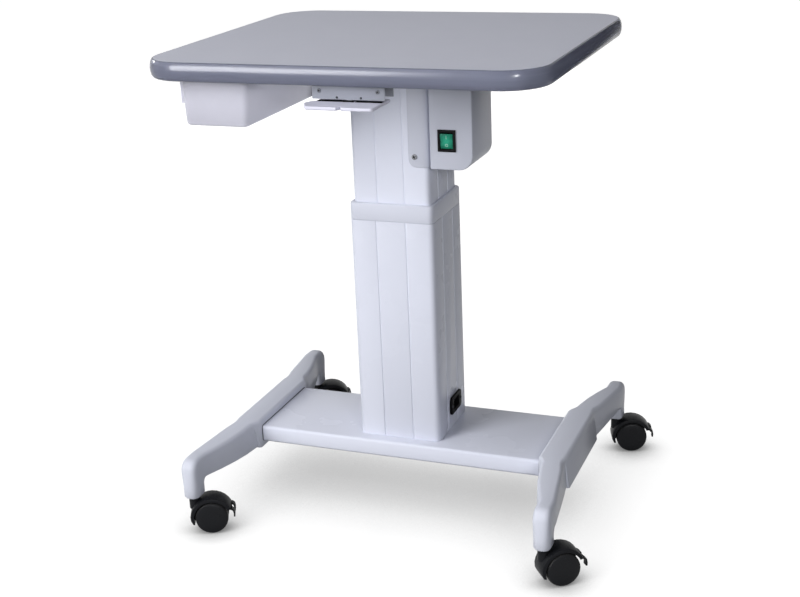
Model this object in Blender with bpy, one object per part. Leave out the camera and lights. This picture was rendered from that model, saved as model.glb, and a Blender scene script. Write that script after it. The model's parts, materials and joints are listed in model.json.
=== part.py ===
"""Motorized instrument table: lifting column on a castored base, with drawer, switch box and paddle."""
import math

import bmesh
import bpy
from mathutils import Vector

# Driving dimensions in metres: front is -Y, right is +X, floor is Z = 0, column axis is X = Y = 0
TOP_W = 0.580
TOP_D = 0.515
TOP_T = 0.0264
TOP_Z = 0.736
TOP_R = 0.064
TOP_Y = -0.0142
MOULD_W = 0.005

COL_W = 0.1325
COL_WALL = 0.0035
COL_R = 0.009
INNER_SHOWN = 0.2141
COLLAR_H = 0.0275
SLIDE_CLEAR = 0.0020
GLIDE_H = 0.030
MOUTH_GLIDE_H = 0.042
FOOT_T = 0.006
GROOVE_U = 0.0235
GROOVE_W = 0.0030
GROOVE_D = 0.0010

BEAM_TOP = 0.1167
BEAM_T = 0.0270
BEAM_D = 0.168
BEAM_WALL = 0.003
BASE_Y = -0.002

LEG_IN = 0.231
BLOCK_W = 0.0485
BLOCK_L = 0.180
BLOCK_RISE = 0.0112
BLOCK_DROP = 0.0107
BLOCK_LEAN = 0.0065
SHOULDER_IN = 0.0050
SHOULDER_OUT = 0.0045
SHOULDER_RAKE = 0.012
ARM_LEAN = 0.0035
ARM_BEND_IN = 1.65
ARM_BEND_OUT = 0.95
ARM_LIFT = 0.0026
ARM_RISE = 0.0015
POST_X = 0.2776
POST_Y = 0.234
POST_W = 0.0254
POST_D = 0.0320
KNEE_DROP = 0.0058
KNEE_R = 0.017
KNEE_FILLET = 0.006
LEG_ROUND = 0.0066
LEG_EDGE = 0.003

WHEEL_R = 0.0255
WHEEL_W = 0.0150
WHEEL_GAP = 0.0035
TRAIL = 0.0250
FENDER_GAP = 0.0022
FENDER_T = 0.0056
FENDER_HALF = 0.0168
YAW_FL = 25.0
YAW_FR = 37.0
YAW_RL = 27.0
YAW_RR = 19.0
STEM_R = 0.005
STEM_IN = 0.028
BRAKE_T = 0.0028

BOX_W = 0.0702
BOX_D = 0.0945
BOX_H = 0.1525
BOX_FRONT = 0.007
BOX_R = 0.022
BOX_WALL = 0.002
BOX_RECESS = 0.0056
FLANGE_W = 0.030
FLANGE_T = 0.002
FLANGE_R = 0.012
SWITCH_X = 0.0320
SWITCH_UP = 0.0435
SWITCH_W = 0.0274
SWITCH_H = 0.0325
SWITCH_RIM = 0.0022
SWITCH_WALL = 0.0014
BOARD_T = 0.0016
BOARD_LOW = 0.060
BOARD_EDGE = 0.008
COIL_H = 0.048
COIL_IN = 0.036
BOX_SPACE = 0.012

PADDLE_X = 0.021
PADDLE_W = 0.096
PADDLE_REACH = 0.014
PADDLE_T = 0.0045
PADDLE_DROP = 0.0032
PADDLE_R = 0.006
PADDLE_EASE = 0.001
PADDLE_EAR = 0.0105
PADDLE_EAR_L = 0.022
NOTCH_W = 0.007
NOTCH_D = 0.008
HINGE_UP = 0.0062
HINGE_R = 0.0046
HINGE_PIN_R = 0.002
BRACKET_W = 0.104
BRACKET_BACK = 0.0217
BRACKET_H = 0.0203
BRACKET_D = 0.032
BRACKET_T = 0.002

DRAWER_IN = 0.108
DRAWER_W = 0.1005
DRAWER_L = 0.270
DRAWER_H = 0.0624
DRAWER_BACK = 0.0267
DRAWER_WALL = 0.002
DRAWER_TAPER = 0.0020
DRAWER_DROP = 0.0030
LIP_T = 0.002
LIP_REACH = 0.0085
LIP_START = 0.050
LIP_END = 0.012
RAIL_T = 0.0025
RAIL_PLAY = 0.0010
RAIL_START = 0.020
RAIL_SHORT = 0.022
RAIL_OVER = 0.006
RAIL_SKIRT = 0.0380
PLATE_T = 0.004
PLATE_SIDE = 0.022
PLATE_R = 0.012
PLATE_CLEAR = 0.024

INLET_Y = 0.009
INLET_UP = 0.0375
INLET_W = 0.050
INLET_H = 0.029
INLET_DEEP = 0.0155
INNER_CLEAR = 0.0568

DRIVE_SPAN = 0.048
DRIVE_CLEAR = 0.002
GEAR_EDGE = 0.0215
GEAR_D = 0.046
GEAR_H = 0.034
GEAR_R = 0.008
MOTOR_R = 0.0195
MOTOR_L = 0.084
MOTOR_EASE = 0.004
TUBE_R = 0.0185
TUBE_WALL = 0.0016
TUBE_SHORT = 0.013
PUSH_R = 0.0145
PUSH_BORE = 0.009
NUT_H = 0.025
SCREW_R = 0.006
EYE_R = 0.005
DRIVE_PIN_R = 0.004
EAR_T = 0.004

# Named clearances
GAP = 0.0003
RUN = 0.0004

# Derived levels
UNDER = TOP_Z - TOP_T
TOP_FRONT = TOP_Y - TOP_D / 2
INNER_W = COL_W - 2 * (COL_WALL + SLIDE_CLEAR)
INNER_R = COL_R - 0.001
COL_TOP = UNDER - INNER_SHOWN
COL_SEAM = COL_TOP - COLLAR_H
PLATE_LOW = UNDER - GAP - PLATE_T
INNER_TOP = PLATE_LOW - GAP
INLET_Z = BEAM_TOP + INLET_UP
INNER_LOW = INLET_Z + INLET_H / 2 + INNER_CLEAR
DRAWER_X = -TOP_W / 2 + DRAWER_IN
RAIL_REACH = DRAWER_W / 2 + LIP_REACH + RAIL_PLAY + RAIL_T
HOOD_RI = WHEEL_R + FENDER_GAP
HOOD_RO = HOOD_RI + FENDER_T
POST_LOW = WHEEL_R + HOOD_RO + 0.0007
BLOCK_TOP = BEAM_TOP + BLOCK_RISE
BLOCK_LOW = BEAM_TOP - BEAM_T - BLOCK_DROP


def reset():
    for ob in list(bpy.data.objects):
        bpy.data.objects.remove(ob, do_unlink=True)


def paint(name, rgb, rough, metal=0.0):
    mat = bpy.data.materials.new(name)
    mat.use_nodes = True
    node = mat.node_tree.nodes["Principled BSDF"]
    node.inputs["Base Color"].default_value = (rgb[0], rgb[1], rgb[2], 1.0)
    node.inputs["Roughness"].default_value = rough
    node.inputs["Metallic"].default_value = metal
    mat.diffuse_color = (rgb[0], rgb[1], rgb[2], 1.0)
    return mat


def solid(name, shape, look, origin=(0.0, 0.0, 0.0)):
    """Make one closed object; its origin is put on `origin`, the joint axis of a moving piece."""
    verts, faces = shape
    base = Vector(origin)
    mesh = bpy.data.meshes.new(name)
    mesh.from_pydata([Vector(v) - base for v in verts], [], faces)
    bm = bmesh.new()
    bm.from_mesh(mesh)
    bmesh.ops.recalc_face_normals(bm, faces=bm.faces[:])
    bm.to_mesh(mesh)
    bm.free()
    ob = bpy.data.objects.new(name, mesh)
    ob.location = base
    bpy.context.scene.collection.objects.link(ob)
    if look is not None:
        mesh.materials.append(paint(name, *look))
    return ob


def combine(ob, shape, how):
    """Apply one exact Boolean of `shape` to `ob` and drop the cutter."""
    cutter = solid(ob.name + "_cutter", shape, None)
    cutter.hide_render = True
    cutter.display_type = "WIRE"
    mod = ob.modifiers.new(how, "BOOLEAN")
    mod.operation = how
    mod.solver = "EXACT"
    mod.object = cutter
    bpy.context.view_layer.update()
    graph = bpy.context.evaluated_depsgraph_get()
    mesh = bpy.data.meshes.new_from_object(ob.evaluated_get(graph))
    ob.modifiers.clear()
    old = ob.data
    name = old.name
    ob.data = mesh
    bpy.data.meshes.remove(old)
    mesh.name = name
    bpy.data.objects.remove(cutter, do_unlink=True)
    bm = bmesh.new()
    bm.from_mesh(mesh)
    bmesh.ops.remove_doubles(bm, verts=bm.verts[:], dist=0.00001)
    bmesh.ops.dissolve_degenerate(bm, edges=bm.edges[:], dist=0.000005)
    bm.to_mesh(mesh)
    bm.free()
    return ob


def cut(ob, shape):
    return combine(ob, shape, "DIFFERENCE")


def join(ob, shape):
    return combine(ob, shape, "UNION")


def loft(rings, closed=False):
    """Skin rings with equal point counts; ends are capped unless the rings form a closed loop."""
    count = len(rings[0])
    verts = [p for ring in rings for p in ring]
    faces = []
    total = len(rings)
    for i in range(total if closed else total - 1):
        a = i * count
        b = ((i + 1) % total) * count
        for j in range(count):
            k = (j + 1) % count
            faces.append((a + j, a + k, b + k, b + j))
    if not closed:
        faces.append(tuple(range(count))[::-1])
        faces.append(tuple((total - 1) * count + j for j in range(count)))
    return verts, faces


def cells(xs, ys, zs, keep, warp=None):
    """Solid made of the grid cells for which keep(i, j, k) is true, with only the outer faces kept."""
    nx, ny, nz = len(xs) - 1, len(ys) - 1, len(zs) - 1

    def filled(i, j, k):
        inside = 0 <= i < nx and 0 <= j < ny and 0 <= k < nz
        return inside and keep(i, j, k)

    sides = (
        ((1, 0, 0), ((1, 0, 0), (1, 1, 0), (1, 1, 1), (1, 0, 1))),
        ((-1, 0, 0), ((0, 0, 0), (0, 0, 1), (0, 1, 1), (0, 1, 0))),
        ((0, 1, 0), ((0, 1, 0), (0, 1, 1), (1, 1, 1), (1, 1, 0))),
        ((0, -1, 0), ((0, 0, 0), (1, 0, 0), (1, 0, 1), (0, 0, 1))),
        ((0, 0, 1), ((0, 0, 1), (1, 0, 1), (1, 1, 1), (0, 1, 1))),
        ((0, 0, -1), ((0, 0, 0), (0, 1, 0), (1, 1, 0), (1, 0, 0))),
    )
    index = {}
    verts = []
    faces = []
    for i in range(nx):
        for j in range(ny):
            for k in range(nz):
                if not filled(i, j, k):
                    continue
                for step, corners in sides:
                    if filled(i + step[0], j + step[1], k + step[2]):
                        continue
                    face = []
                    for c in corners:
                        key = (i + c[0], j + c[1], k + c[2])
                        if key not in index:
                            index[key] = len(verts)
                            p = (xs[key[0]], ys[key[1]], zs[key[2]])
                            verts.append(warp(*p) if warp else p)
                        face.append(index[key])
                    faces.append(tuple(face))
    return verts, faces


def box(x0, x1, y0, y1, z0, z1):
    return cells((x0, x1), (y0, y1), (z0, z1), lambda i, j, k: True)


def corner_arc(cx, cy, r, start, steps):
    out = []
    for i in range(steps + 1):
        a = math.radians(start + 90.0 * i / steps)
        out.append((cx + r * math.cos(a), cy + r * math.sin(a)))
    return out


def rounded(hx, hy, r, steps, cx=0.0, cy=0.0):
    """Rounded rectangle, counter-clockwise from the right side's lower corner."""
    out = []
    out += corner_arc(cx + hx - r, cy - hy + r, r, 270, steps)
    out += corner_arc(cx + hx - r, cy + hy - r, r, 0, steps)
    out += corner_arc(cx - hx + r, cy + hy - r, r, 90, steps)
    out += corner_arc(cx - hx + r, cy - hy + r, r, 180, steps)
    return out


def level(outline, z):
    return [(p[0], p[1], z) for p in outline]


def prism(outline, z0, z1):
    return loft([level(outline, z0), level(outline, z1)])


def inset(outline, d):
    """Move every side of a counter-clockwise outline inwards by d."""
    out = []
    n = len(outline)
    for i in range(n):
        p = Vector(outline[i])
        a = (p - Vector(outline[i - 1])).normalized()
        b = (Vector(outline[(i + 1) % n]) - p).normalized()
        na = Vector((-a.y, a.x))
        nb = Vector((-b.y, b.x))
        m = (na + nb).normalized()
        q = p + m * (d / max(0.3, m.dot(na)))
        out.append((q.x, q.y))
    return out


def circle(r, steps, cx=0.0, cy=0.0, turn=0.0):
    out = []
    for i in range(steps):
        a = 2 * math.pi * (i + turn) / steps
        out.append((cx + r * math.cos(a), cy + r * math.sin(a)))
    return out


def rod_z(r, z0, z1, steps, cx=0.0, cy=0.0):
    return prism(circle(r, steps, cx, cy), z0, z1)


def rod_y(r, y0, y1, steps, cx, cz):
    verts, faces = prism(circle(r, steps, cx, cz), y0, y1)
    return [(v[0], v[2], v[1]) for v in verts], faces


def sheet_y(outline, y0, y1, edge=0.0):
    """Prism of an XZ outline along Y, with its end edges eased by `edge`."""
    if edge > 0:
        small = inset(outline, edge)
        flats = ((small, y0), (outline, y0 + edge), (outline, y1 - edge), (small, y1))
    else:
        flats = ((outline, y0), (outline, y1))
    return loft([[(p[0], y, p[1]) for p in flat] for flat, y in flats])


def revolve(profile, steps):
    """Turn (radius, height) points about Z; points with radius 0 close the shape on the axis."""
    verts = []
    rows = []
    for r, h in profile:
        if r == 0:
            rows.append([len(verts)])
            verts.append((0.0, 0.0, h))
        else:
            rows.append(list(range(len(verts), len(verts) + steps)))
            verts += [(p[0], p[1], h) for p in circle(r, steps)]
    faces = []
    pairs = [(rows[i], rows[i + 1]) for i in range(len(rows) - 1)]
    if profile[0][0] > 0:
        pairs.append((rows[-1], rows[0]))
    for a, b in pairs:
        for j in range(steps):
            k = (j + 1) % steps
            if len(a) == 1:
                faces.append((a[0], b[j], b[k]))
            elif len(b) == 1:
                faces.append((a[j], a[k], b[0]))
            else:
                faces.append((a[j], a[k], b[k], b[j]))
    return verts, faces


def moved(shape, fn):
    verts, faces = shape
    return [fn(*v) for v in verts], faces


def square_ring(half_out, half_in, r_out, r_in, z0, z1, steps=4):
    outer = rounded(half_out, half_out, r_out, steps)
    inner = rounded(half_in, half_in, r_in, steps)
    return loft([level(outer, z0), level(outer, z1), level(inner, z1), level(inner, z0)], closed=True)


# Looks: base colour, roughness, metallic
GREY_LAMINATE = ((0.42, 0.43, 0.48), 0.45)
BLUE_GREY = ((0.20, 0.21, 0.27), 0.35)
WHITE_PAINT = ((0.66, 0.68, 0.74), 0.38)
CAST_PAINT = ((0.50, 0.51, 0.56), 0.42)
WHITE_PLASTIC = ((0.68, 0.68, 0.74), 0.40)
BLACK_PLASTIC = ((0.018, 0.018, 0.021), 0.42)
TYRE_BLACK = ((0.016, 0.016, 0.018), 0.48)
GREEN_ROCKER = ((0.03, 0.33, 0.20), 0.25)
STEEL = ((0.55, 0.56, 0.58), 0.35, 0.9)
DARK_STEEL = ((0.20, 0.20, 0.22), 0.45, 0.8)
NYLON = ((0.75, 0.74, 0.70), 0.5)
BOARD_GREEN = ((0.02, 0.16, 0.06), 0.5)


def tops():
    hx, hy = TOP_W / 2, TOP_D / 2
    d = MOULD_W + GAP
    panel = rounded(hx - d, hy - d, TOP_R - d, 8, 0.0, TOP_Y)
    solid("table_top", prism(panel, UNDER, TOP_Z), GREY_LAMINATE)
    mid = (UNDER + TOP_Z) / 2
    rings = []
    for i in range(9):
        a = math.radians(-90 + 22.5 * i)
        e = MOULD_W * (1 - math.cos(a))
        z = mid + TOP_T / 2 * math.sin(a)
        rings.append(level(rounded(hx - e, hy - e, TOP_R - e, 8, 0.0, TOP_Y), z))
    solid("edge_moulding", loft(rings, closed=True), BLUE_GREY)
    plate = rounded(-DRAWER_X - RAIL_REACH - PLATE_CLEAR, INNER_W / 2 + PLATE_SIDE, PLATE_R, 3)
    solid("top_mount_plate", prism(plate, PLATE_LOW, UNDER - GAP), DARK_STEEL)


def grooved(half, r, wall):
    """Outer and inner outlines, point for point, of a square tube with two grooves on each face."""
    outer = []
    inner = []
    scale = half / (COL_W / 2)
    ri = max(r - wall, 0.002)
    hi = half - wall
    for side in range(4):
        base = side * 90.0
        c, s = math.cos(math.radians(base)), math.sin(math.radians(base))

        def put(px, py, dest):
            dest.append((c * px - s * py, s * px + c * py))

        for p in corner_arc(half - r, -half + r, r, 270, 4):
            put(p[0], p[1], outer)
        for p in corner_arc(hi - ri, -hi + ri, ri, 270, 4):
            put(p[0], p[1], inner)
        for v in (-GROOVE_U * scale, GROOVE_U * scale):
            for dv, depth in ((-0.5, 0.0), (-0.22, 1.0), (0.22, 1.0), (0.5, 0.0)):
                put(half - depth * GROOVE_D, v + dv * GROOVE_W, outer)
                put(hi, v + dv * GROOVE_W, inner)
    return outer, inner


def columns():
    low = BEAM_TOP + GAP
    outer, inner = grooved(COL_W / 2, COL_R, COL_WALL)
    tube = loft([level(outer, low), level(outer, COL_SEAM), level(inner, COL_SEAM), level(inner, low)], True)
    post = solid("outer_column", tube, WHITE_PAINT)
    half = COL_W / 2
    z = INLET_Z
    cut(post, box(half - 0.02, half + 0.02, INLET_Y - 0.0145, INLET_Y + 0.0145, z - 0.0105, z + 0.0105))
    outer, inner = grooved(INNER_W / 2, INNER_R, COL_WALL)
    rings = [level(outer, INNER_LOW), level(outer, INNER_TOP)]
    rings += [level(inner, INNER_TOP), level(inner, INNER_LOW)]
    solid("inner_column", loft(rings, True), WHITE_PAINT)
    hole = INNER_W / 2 + RUN
    rings = []
    for e, z in ((0.0, COL_SEAM + GAP), (0.0, COL_TOP - 0.003), (0.0009, COL_TOP - 0.0009), (0.003, COL_TOP)):
        rings.append(level(rounded(half - e, half - e, COL_R - e, 4), z))
    for z in (COL_TOP, COL_SEAM + GAP):
        rings.append(level(rounded(hole, hole, INNER_R, 4), z))
    solid("column_collar", loft(rings, True), WHITE_PAINT)
    inside = half - COL_WALL
    ri = COL_R - COL_WALL - GAP
    foot = rounded(inside - RUN, inside - RUN, ri, 4)
    solid("column_foot", prism(foot, low, low + FOOT_T), DARK_STEEL)
    glide = square_ring(inside - GAP, hole, ri, INNER_R, COL_SEAM - MOUTH_GLIDE_H, COL_SEAM - GAP)
    solid("upper_glide", glide, NYLON)
    glide = square_ring(inside - RUN, INNER_W / 2 + GAP, ri, INNER_R, INNER_LOW, INNER_LOW + GLIDE_H)
    solid("lower_glide", glide, NYLON)


def base():
    hd = BEAM_D / 2
    ht = BEAM_T / 2
    zc = BEAM_TOP - ht
    outer = rounded(hd, ht, 0.0045, 3, BASE_Y, zc)
    inner = rounded(hd - BEAM_WALL, ht - BEAM_WALL, 0.0015, 3, BASE_Y, zc)
    end = LEG_IN - GAP
    hoops = ((outer, -end), (outer, end), (inner, end), (inner, -end))
    rings = [[(x, p[0], p[1]) for p in hoop] for hoop, x in hoops]
    solid("base_beam", loft(rings, closed=True), WHITE_PAINT)
    for side, name in ((-1, "leg_left"), (1, "leg_right")):
        solid(name, leg(side), CAST_PAINT)


def section(foot, crown, z0, z1, r_low, r_top):
    """Leg section: (inner, outer) sides at its foot and crown, small lower and larger top corners."""
    half = (foot[1] - foot[0]) / 2
    outline = []
    outline += corner_arc(half - r_low, z0 + r_low, r_low, 270, 2)
    outline += corner_arc(half - r_top, z1 - r_top, r_top, 0, 4)
    outline += corner_arc(-half + r_top, z1 - r_top, r_top, 90, 4)
    outline += corner_arc(-half + r_low, z0 + r_low, r_low, 180, 2)
    out = []
    for s, z in outline:
        share = (z - z0) / (z1 - z0)
        inner = foot[0] + (crown[0] - foot[0]) * share
        outer = foot[1] + (crown[1] - foot[1]) * share
        out.append((inner + (outer - inner) * (s + half) / (2 * half), z))
    return out


def knee_reach(angle, across, up, r):
    """Distance from the knee's pivot to its rounded outer corner, `angle` degrees forward from up."""
    a = math.radians(angle)
    dx, dz = math.sin(a), math.cos(a)
    if dz > 1e-6 and up / dz * dx <= across - r:
        return up / dz
    if dx > 1e-6 and across / dx * dz <= up - r:
        return across / dx
    px, pz = across - r, up - r
    b = dx * px + dz * pz
    return b + math.sqrt(max(0.0, b * b - px * px - pz * pz + r * r))


def arm(end):
    """Rings of one arm from the block's end to the caster hole, for end = -1 (front) or 1 (rear)."""
    near = BLOCK_L / 2
    outer = LEG_IN + BLOCK_W
    ease = 0.0012
    rings = []

    def station(y, foot, crown, z0, z1, r_top, rake=0.0):
        """One ring at y, leaning outwards by `rake` towards its top."""
        ring = []
        for x, z in section(foot, crown, z0, z1, LEG_EDGE, r_top):
            lean = rake * ((z - z0) / (z1 - z0)) ** 3
            ring.append((x, BASE_Y + end * (y + lean), z))
        rings.append(ring)

    block = (LEG_IN, outer)
    station(near - 3 * ease, block, (LEG_IN, outer - BLOCK_LEAN), BLOCK_LOW, BLOCK_TOP, LEG_ROUND)
    block = (LEG_IN + ease, outer - ease)
    station(near, block, (LEG_IN + ease, outer - ease - BLOCK_LEAN), BLOCK_LOW + ease, BLOCK_TOP, LEG_ROUND)
    low = BLOCK_LOW + ARM_LIFT
    root = (LEG_IN + SHOULDER_IN, outer - SHOULDER_OUT)
    crown = (root[0] + ARM_LEAN, root[1] - ARM_LEAN)
    station(near + ease, root, crown, low, BLOCK_TOP, LEG_ROUND, SHOULDER_RAKE)
    knee_y = POST_Y - POST_D / 2 - KNEE_FILLET
    knee_z = low + ARM_RISE - KNEE_FILLET
    across = POST_D + KNEE_FILLET
    up = BLOCK_TOP - KNEE_DROP - knee_z
    post = (POST_X - POST_W / 2, POST_X + POST_W / 2)
    for share in (0.28, 0.52, 0.76):
        inside = root[0] + (post[0] - root[0]) * share ** ARM_BEND_IN
        outside = root[1] + (post[1] - root[1]) * share ** ARM_BEND_OUT
        lean = ARM_LEAN * (1 - share)
        station(near + (knee_y - near) * share, (inside, outside), (inside + lean, outside - lean),
                low + ARM_RISE * share, BLOCK_TOP - KNEE_DROP * share, LEG_ROUND)
    turn_in = math.degrees(math.atan2(across - KNEE_R, up))
    turn_out = math.degrees(math.atan2(across, up - KNEE_R))
    bend = [turn_in + (turn_out - turn_in) * i / 4 for i in range(5)]
    for angle in [0.0] + bend + [90.0]:
        share = angle / 90.0
        r_top = LEG_ROUND + (POST_W / 2 - 0.0018 - LEG_ROUND) * share
        reach = knee_reach(angle, across, up, KNEE_R)
        sides = (-POST_W / 2, POST_W / 2)
        pts = section(sides, sides, KNEE_FILLET, reach, LEG_EDGE * (1 + share), r_top)
        a = math.radians(angle)
        ring = []
        for s, t in pts:
            y = knee_y + t * math.sin(a)
            ring.append((POST_X + s, BASE_Y + end * y, knee_z + t * math.cos(a)))
        rings.append(ring)
    foot = [(p[0], p[1]) for p in rings[-1]]
    rings.append(level(foot, POST_LOW + 0.003))
    cx, cy = POST_X, BASE_Y + end * POST_Y
    small = [(cx + (x - cx) * 0.86, cy + (y - cy) * 0.86) for x, y in foot]
    rings.append(level(small, POST_LOW))
    count = len(foot)
    turn = -2 * math.pi / count if end < 0 else 2 * math.pi / count
    first = math.atan2(foot[0][1] - cy, foot[0][0] - cx)
    slip = 0.0
    for j, (x, y) in enumerate(foot):
        d = math.atan2(y - cy, x - cx) - first - turn * j
        slip += (d + math.pi) % (2 * math.pi) - math.pi
    first += slip / count
    bore = STEM_R + 0.0004
    spokes = [first + turn * j for j in range(count)]
    hole = [(cx + bore * math.cos(a), cy + bore * math.sin(a)) for a in spokes]
    rings.append(level(hole, POST_LOW))
    rings.append(level(hole, POST_LOW + STEM_IN + GAP))
    return rings


def leg(side):
    front = arm(-1)
    rear = arm(1)
    rings = front[::-1] + rear
    return moved(loft(rings), lambda x, y, z: (side * x, y, z))


def caster(tag, sx, sy, turn):
    yaw = math.radians(turn)
    c, s = math.cos(yaw), math.sin(yaw)
    ox, oy = sx * POST_X, BASE_Y + sy * POST_Y

    def at(x, y, z):
        return (ox + c * x - s * y, oy + s * x + c * y, z)

    axle_z = WHEEL_R
    axle_r = 0.004
    name = "caster_" + tag
    r = STEM_R
    low = POST_LOW - 0.0115
    top = POST_LOW + STEM_IN
    prof = [(0, low), (r, low), (r, top - 0.002), (r - 0.0015, top), (0, top)]
    stem = moved(revolve(prof, 16), at)
    solid(name + "_stem", stem, STEEL)

    def polar(radius, deg):
        a = math.radians(deg)
        return (TRAIL + radius * math.cos(a), axle_z + radius * math.sin(a))

    steps = 14
    first, last = 26.0, 198.0

    def fender(shrink):
        out = []
        for i in range(steps + 1):
            d = first + (last - first) * i / steps
            thin = 0.0022 if i == steps else (0.0006 if i == steps - 1 else 0.0)
            out.append(polar(HOOD_RO - shrink - thin, d))
        for i in range(steps, -1, -1):
            d = first + (last - first) * i / steps
            out.append(polar(HOOD_RI, d))
        return out

    rings = []
    for y, shrink in ((-FENDER_HALF, 0.0026), (-FENDER_HALF + 0.0007, 0.0008), (-FENDER_HALF + 0.0026, 0.0),
                      (FENDER_HALF - 0.0026, 0.0), (FENDER_HALF - 0.0007, 0.0008), (FENDER_HALF, 0.0026)):
        rings.append([(p[0], y, p[1]) for p in fender(shrink)])
    swivel = at(0.0, 0.0, POST_LOW)
    hood = solid(name + "_hood", moved(loft(rings), at), BLACK_PLASTIC, swivel)
    join(hood, moved(rod_z(0.0086, axle_z + 0.014, POST_LOW - GAP, 20), at))
    cut(hood, moved(rod_y(HOOD_RI - 0.0004, -0.04, 0.04, 40, TRAIL, axle_z), at))
    web = [polar(HOOD_RI + 0.002, first + 2 + (last - first - 6) * i / 10) for i in range(11)]
    web += [polar(0.0085, d) for d in (222, 250, 280, 310, 345)]
    join(hood, moved(sheet_y(web, -WHEEL_GAP + 0.0011, WHEEL_GAP - 0.0011), at))
    tip = WHEEL_GAP + WHEEL_W - 0.0035
    join(hood, moved(rod_y(axle_r, -tip, tip, 16, TRAIL, axle_z), at))
    cut(hood, moved(rod_z(STEM_R + GAP, low - GAP, POST_LOW + 0.01, 16), at))

    y0, y1 = WHEEL_GAP, WHEEL_GAP + WHEEL_W
    bore = axle_r + GAP
    tread = WHEEL_R
    prof = [(0, y1 - 0.0003), (tread * 0.48, y1 - 0.0001), (tread * 0.84, y1 - 0.0007),
            (tread * 0.93, y1 - 0.0016), (tread * 0.985, y1 - 0.0034), (tread, y1 - 0.0058),
            (tread, y0 + 0.0035), (tread * 0.975, y0 + 0.0010), (tread * 0.9, y0),
            (bore, y0), (bore, tip + GAP), (0, tip + GAP)]
    wheel = revolve(prof, 28)
    hub = at(TRAIL, 0.0, axle_z)
    for label, sign in (("a", -1), ("b", 1)):
        shape = moved(wheel, lambda x, y, z, k=sign: at(TRAIL + x, k * z, axle_z + y))
        solid(name + "_wheel_" + label, shape, TYRE_BLACK, hub)

    start = polar((HOOD_RI + HOOD_RO) / 2, first - 1.6)
    scale = HOOD_RO / 0.0333
    path = [start]
    for dx, dz in ((0.0034, 0.0002), (0.0064, -0.0026), (0.0074, -0.0076), (0.0070, -0.0126)):
        path.append((start[0] + dx * scale, start[1] + dz * scale))
    normals = []
    for i in range(len(path)):
        a = path[max(0, i - 1)]
        b = path[min(len(path) - 1, i + 1)]
        t = Vector((b[0] - a[0], b[1] - a[1])).normalized()
        normals.append((-t.y, t.x))
    normals[0] = (math.cos(math.radians(first)), math.sin(math.radians(first)))

    def bend(i, y, t):
        i = int(i)
        p, n = path[i], normals[i]
        thick = BRAKE_T * (1.0 if i < 3 else 0.85)
        return at(p[0] + n[0] * t * thick, y, p[1] + n[1] * t * thick)

    ys = (-0.0145, -0.0055, 0.0055, 0.0145)
    lever = cells(range(len(path)), ys, (-0.5, 0.5), lambda i, j, k: i < 1 or j != 1, bend)
    solid(name + "_brake", lever, BLACK_PLASTIC, at(start[0], 0.0, start[1]))


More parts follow.
